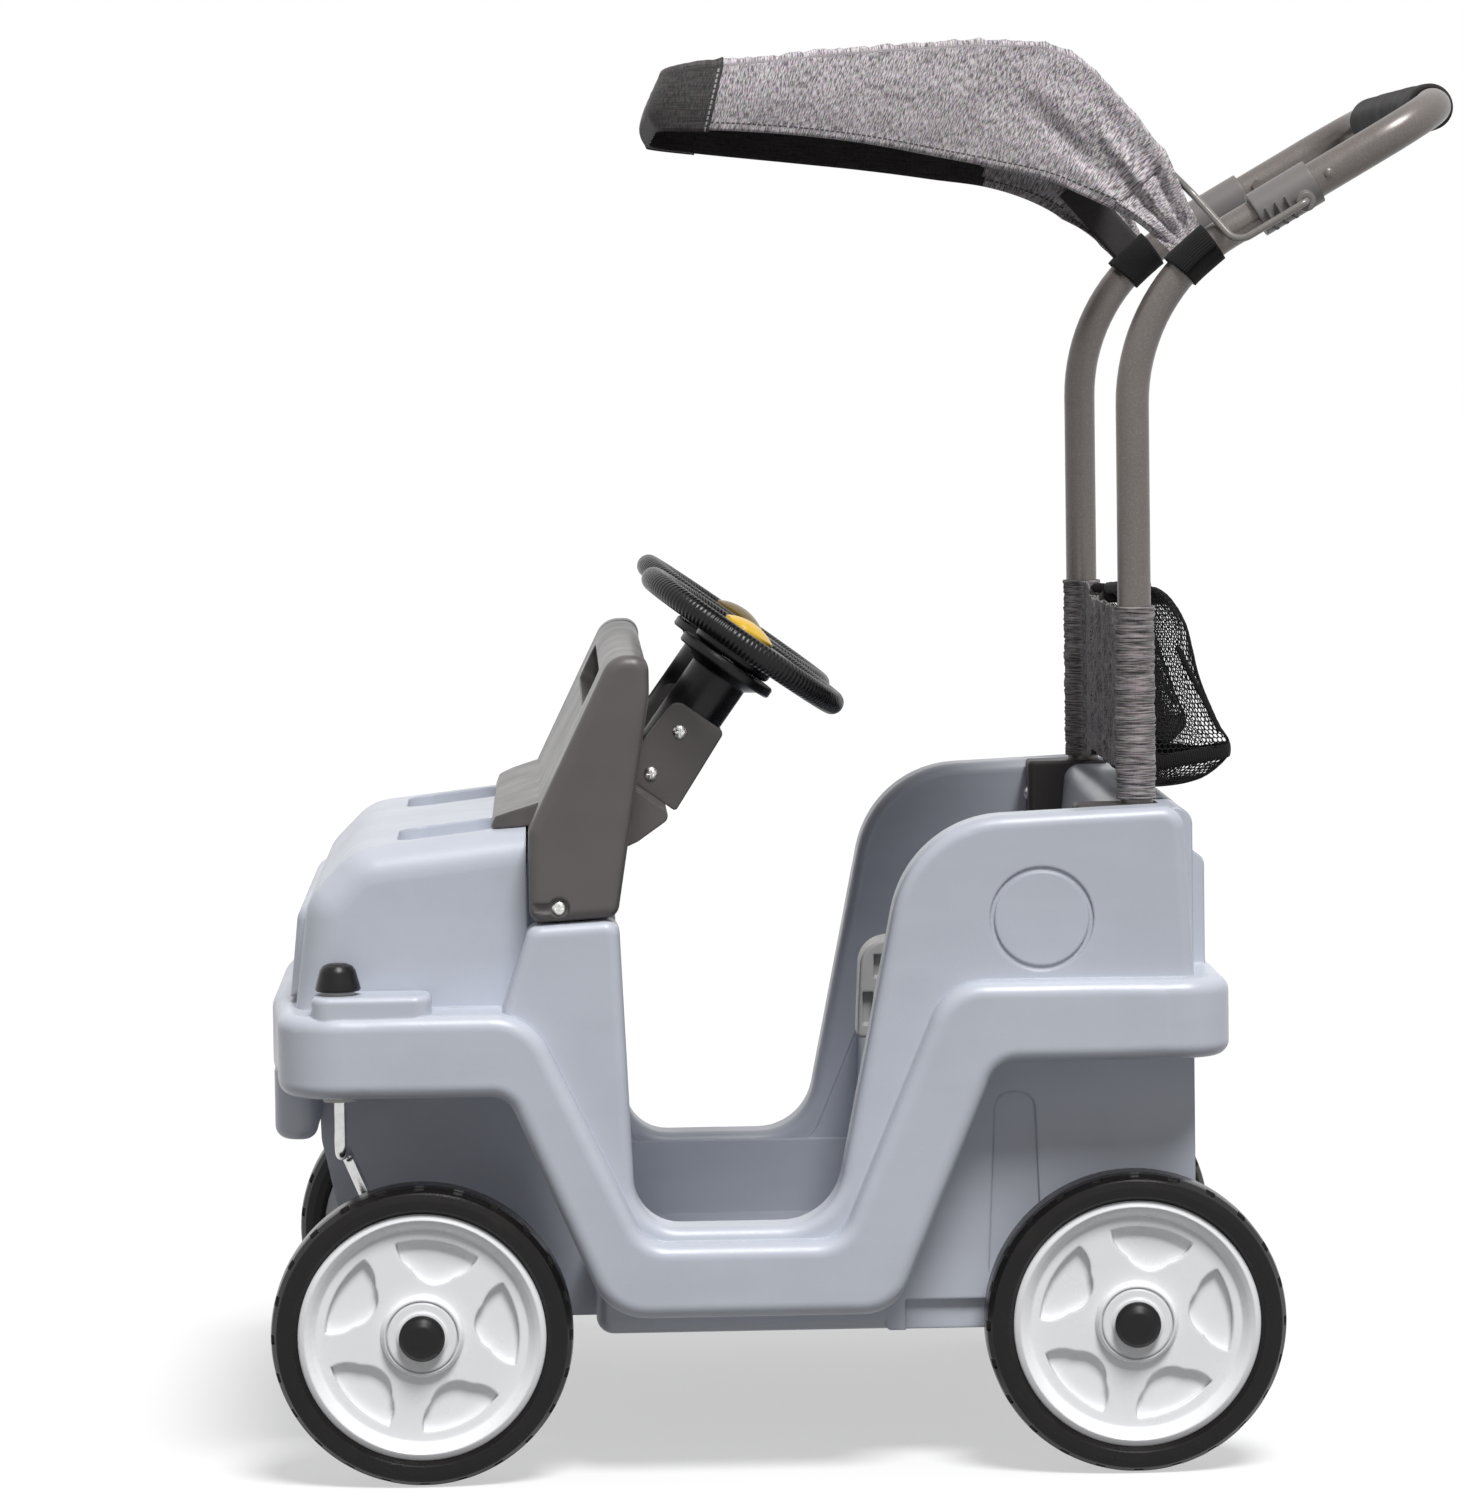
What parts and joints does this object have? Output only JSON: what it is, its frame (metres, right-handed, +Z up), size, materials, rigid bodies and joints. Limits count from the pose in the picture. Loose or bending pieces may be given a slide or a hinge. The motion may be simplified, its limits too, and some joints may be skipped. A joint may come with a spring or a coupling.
{
  "type": "push car",
  "caption": "Side-by-side ride-on push car with caster front wheels, steering wheels with horns, a tilting cloth canopy, a rear storage bag and a tall push handle.",
  "frame": {"origin": "on the floor under the middle of the object's box", "axes": "+X forward, +Y to the car's left, +Z up"},
  "size_m": [0.9847, 0.671, 1.1564],
  "materials": {
    "body_plastic": "semi-gloss moulded shell",
    "dash_plastic": "warm dark grey moulding",
    "socket_plastic": "dark moulded block",
    "black_plastic": "satin black moulding",
    "tyre_rubber": "satin black tread",
    "rim_plastic": "white moulded wheel",
    "nylon": "natural nylon",
    "axle_steel": "plain steel",
    "zinc_screw": "zinc-plated steel",
    "handle_paint": "brown-grey painted tube",
    "wire_paint": "grey coated wire",
    "grip_foam": "black foam",
    "clip_plastic": "mid grey clip",
    "canopy_cloth": "heather grey weave",
    "valance_cloth": "dark grey weave",
    "bag_cloth": "heather grey weave",
    "mesh_cloth": "black mesh",
    "strap_web": "black webbing",
    "horn_plastic": "yellow button",
    "console_plastic": "warm light grey moulding"
  },
  "bodies": {
    "chassis": {"body_shell": "body_plastic", "windscreen_dash": "dash_plastic", "dash_screws": "zinc_screw", "bracket_screws": "zinc_screw", "socket_screws": "zinc_screw", "handle_bolts": "zinc_screw", "handle_upper": "handle_paint", "handle_grip": "grip_foam", "bag_panel": "bag_cloth", "bag_pouch": "mesh_cloth", "rear_axle": "axle_steel", "seat_console": "console_plastic", "steering_bracket_left": "dash_plastic", "steering_column_left": "black_plastic", "handle_tube_left": "handle_paint", "handle_socket_left": "socket_plastic", "canopy_clip_left": "clip_plastic", "strap_cuff_left": "strap_web", "caster_bush_left": "nylon", "steering_bracket_right": "dash_plastic", "steering_column_right": "black_plastic", "handle_tube_right": "handle_paint", "handle_socket_right": "socket_plastic", "canopy_clip_right": "clip_plastic", "strap_cuff_right": "strap_web", "caster_bush_right": "nylon", "axle_cap_rear_left": "black_plastic", "axle_cap_rear_right": "black_plastic"},
    "canopy": {"canopy_frame": "wire_paint", "canopy_cover": "canopy_cloth", "canopy_valance": "valance_cloth"},
    "caster_left": {"caster_rod_left": "axle_steel", "caster_knob_left": "black_plastic", "axle_cap_front_left": "black_plastic"},
    "steering_left": {"steering_wheel_left": "black_plastic", "steering_shaft_left": "axle_steel", "horn_spring_left": "axle_steel"},
    "horn_left": {"horn_button_left": "horn_plastic"},
    "caster_right": {"caster_rod_right": "axle_steel", "caster_knob_right": "black_plastic", "axle_cap_front_right": "black_plastic"},
    "steering_right": {"steering_wheel_right": "black_plastic", "steering_shaft_right": "axle_steel", "horn_spring_right": "axle_steel"},
    "horn_right": {"horn_button_right": "horn_plastic"},
    "wheel_front_left": {"tyre_front_left": "tyre_rubber", "rim_front_left": "rim_plastic", "hub_bush_front_left": "nylon"},
    "wheel_front_right": {"tyre_front_right": "tyre_rubber", "rim_front_right": "rim_plastic", "hub_bush_front_right": "nylon"},
    "wheel_rear_left": {"tyre_rear_left": "tyre_rubber", "rim_rear_left": "rim_plastic", "hub_bush_rear_left": "nylon"},
    "wheel_rear_right": {"tyre_rear_right": "tyre_rubber", "rim_rear_right": "rim_plastic", "hub_bush_rear_right": "nylon"}
  },
  "joints": [
    {"name": "canopy_tilt", "type": "hinge", "parent": "chassis", "child": "canopy", "pos_m": [-0.3581, 0, 1.02334], "axis": [0, -1, 0], "range_deg": [0, 75]},
    {"name": "caster_swivel_left", "type": "hinge", "parent": "chassis", "child": "caster_left", "pos_m": [0.432, 0.299, 0.35], "axis": [0, 0, 1], "range_deg": [-35, 35]},
    {"name": "wheel_spin_front_left", "type": "hinge", "parent": "caster_left", "child": "wheel_front_left", "pos_m": [0.369, 0.299, 0.122], "axis": [0, 1, 0], "continuous": true},
    {"name": "wheel_spin_rear_left", "type": "hinge", "parent": "chassis", "child": "wheel_rear_left", "pos_m": [-0.208, 0.299, 0.122], "axis": [0, 1, 0], "continuous": true},
    {"name": "steering_turn_left", "type": "hinge", "parent": "chassis", "child": "steering_left", "pos_m": [0.097, 0.132, 0.669], "axis": [-0.5807, 0, 0.8141], "continuous": true},
    {"name": "horn_press_left", "type": "slide", "parent": "steering_left", "child": "horn_left", "axis": [0.5807, 0, -0.8141], "range_m": [0, 0.004], "stiffness_N_per_m": 400, "springref_m": -0.003, "deforming": ["horn_spring_left"]},
    {"name": "caster_swivel_right", "type": "hinge", "parent": "chassis", "child": "caster_right", "pos_m": [0.432, -0.299, 0.35], "axis": [0, 0, 1], "range_deg": [-35, 35]},
    {"name": "wheel_spin_front_right", "type": "hinge", "parent": "caster_right", "child": "wheel_front_right", "pos_m": [0.369, -0.299, 0.122], "axis": [0, 1, 0], "continuous": true},
    {"name": "wheel_spin_rear_right", "type": "hinge", "parent": "chassis", "child": "wheel_rear_right", "pos_m": [-0.208, -0.299, 0.122], "axis": [0, 1, 0], "continuous": true},
    {"name": "steering_turn_right", "type": "hinge", "parent": "chassis", "child": "steering_right", "pos_m": [0.097, -0.132, 0.669], "axis": [-0.5807, 0, 0.8141], "continuous": true},
    {"name": "horn_press_right", "type": "slide", "parent": "steering_right", "child": "horn_right", "axis": [0.5807, 0, -0.8141], "range_m": [0, 0.004], "stiffness_N_per_m": 400, "springref_m": -0.003, "deforming": ["horn_spring_right"]}
  ]
}
